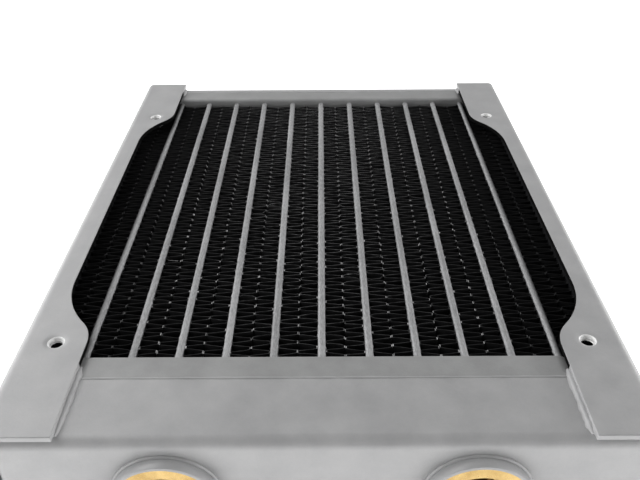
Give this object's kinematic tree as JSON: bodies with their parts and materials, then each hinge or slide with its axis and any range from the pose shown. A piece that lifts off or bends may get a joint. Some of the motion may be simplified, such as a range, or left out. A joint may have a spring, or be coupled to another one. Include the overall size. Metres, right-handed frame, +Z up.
{
  "type": "liquid cooling radiator",
  "caption": "Slim finned radiator for a liquid-cooled computer: flat tubes and split serpentine fins between two tanks, in a folded frame that takes a 120 mm fan on either face.",
  "frame": {"origin": "at the base, under the centre of the square of fan screw holes, which is also the middle of the overall length and width", "axes": "+X across the tubes, +Y along the tubes from the port tank to the return tank, +Z up through the top fan face"},
  "size_m": [0.12, 0.158, 0.03],
  "materials": {
    "frame_paint": "light silver-grey satin paint",
    "core_paint": "light silver-grey paint, slightly rough",
    "fin_black": "black painted foil, satin",
    "plate_black": "black satin paint",
    "brass": "turned brass"
  },
  "bodies": {
    "root": {"side_channel_left": "frame_paint", "side_channel_right": "frame_paint", "header_plate_port": "core_paint", "header_plate_return": "core_paint", "tank_port": "frame_paint", "tank_return": "frame_paint", "tank_divider": "brass", "port_boss_inlet": "brass", "port_boss_outlet": "brass", "water_tube_01": "core_paint", "water_tube_02": "core_paint", "water_tube_03": "core_paint", "water_tube_04": "core_paint", "water_tube_05": "core_paint", "water_tube_06": "core_paint", "water_tube_07": "core_paint", "water_tube_08": "core_paint", "water_tube_09": "core_paint", "water_tube_10": "core_paint", "water_tube_11": "core_paint", "core_side_plate_left": "plate_black", "core_side_plate_right": "plate_black", "fin_strip_01a": "fin_black", "fin_strip_01b": "fin_black", "fin_strip_02a": "fin_black", "fin_strip_02b": "fin_black", "fin_strip_03a": "fin_black", "fin_strip_03b": "fin_black", "fin_strip_04a": "fin_black", "fin_strip_04b": "fin_black", "fin_strip_05a": "fin_black", "fin_strip_05b": "fin_black", "fin_strip_06a": "fin_black", "fin_strip_06b": "fin_black", "fin_strip_07a": "fin_black", "fin_strip_07b": "fin_black", "fin_strip_08a": "fin_black", "fin_strip_08b": "fin_black", "fin_strip_09a": "fin_black", "fin_strip_09b": "fin_black", "fin_strip_10a": "fin_black", "fin_strip_10b": "fin_black", "fin_strip_11a": "fin_black", "fin_strip_11b": "fin_black", "fin_strip_12a": "fin_black", "fin_strip_12b": "fin_black"}
  },
  "joints": []
}
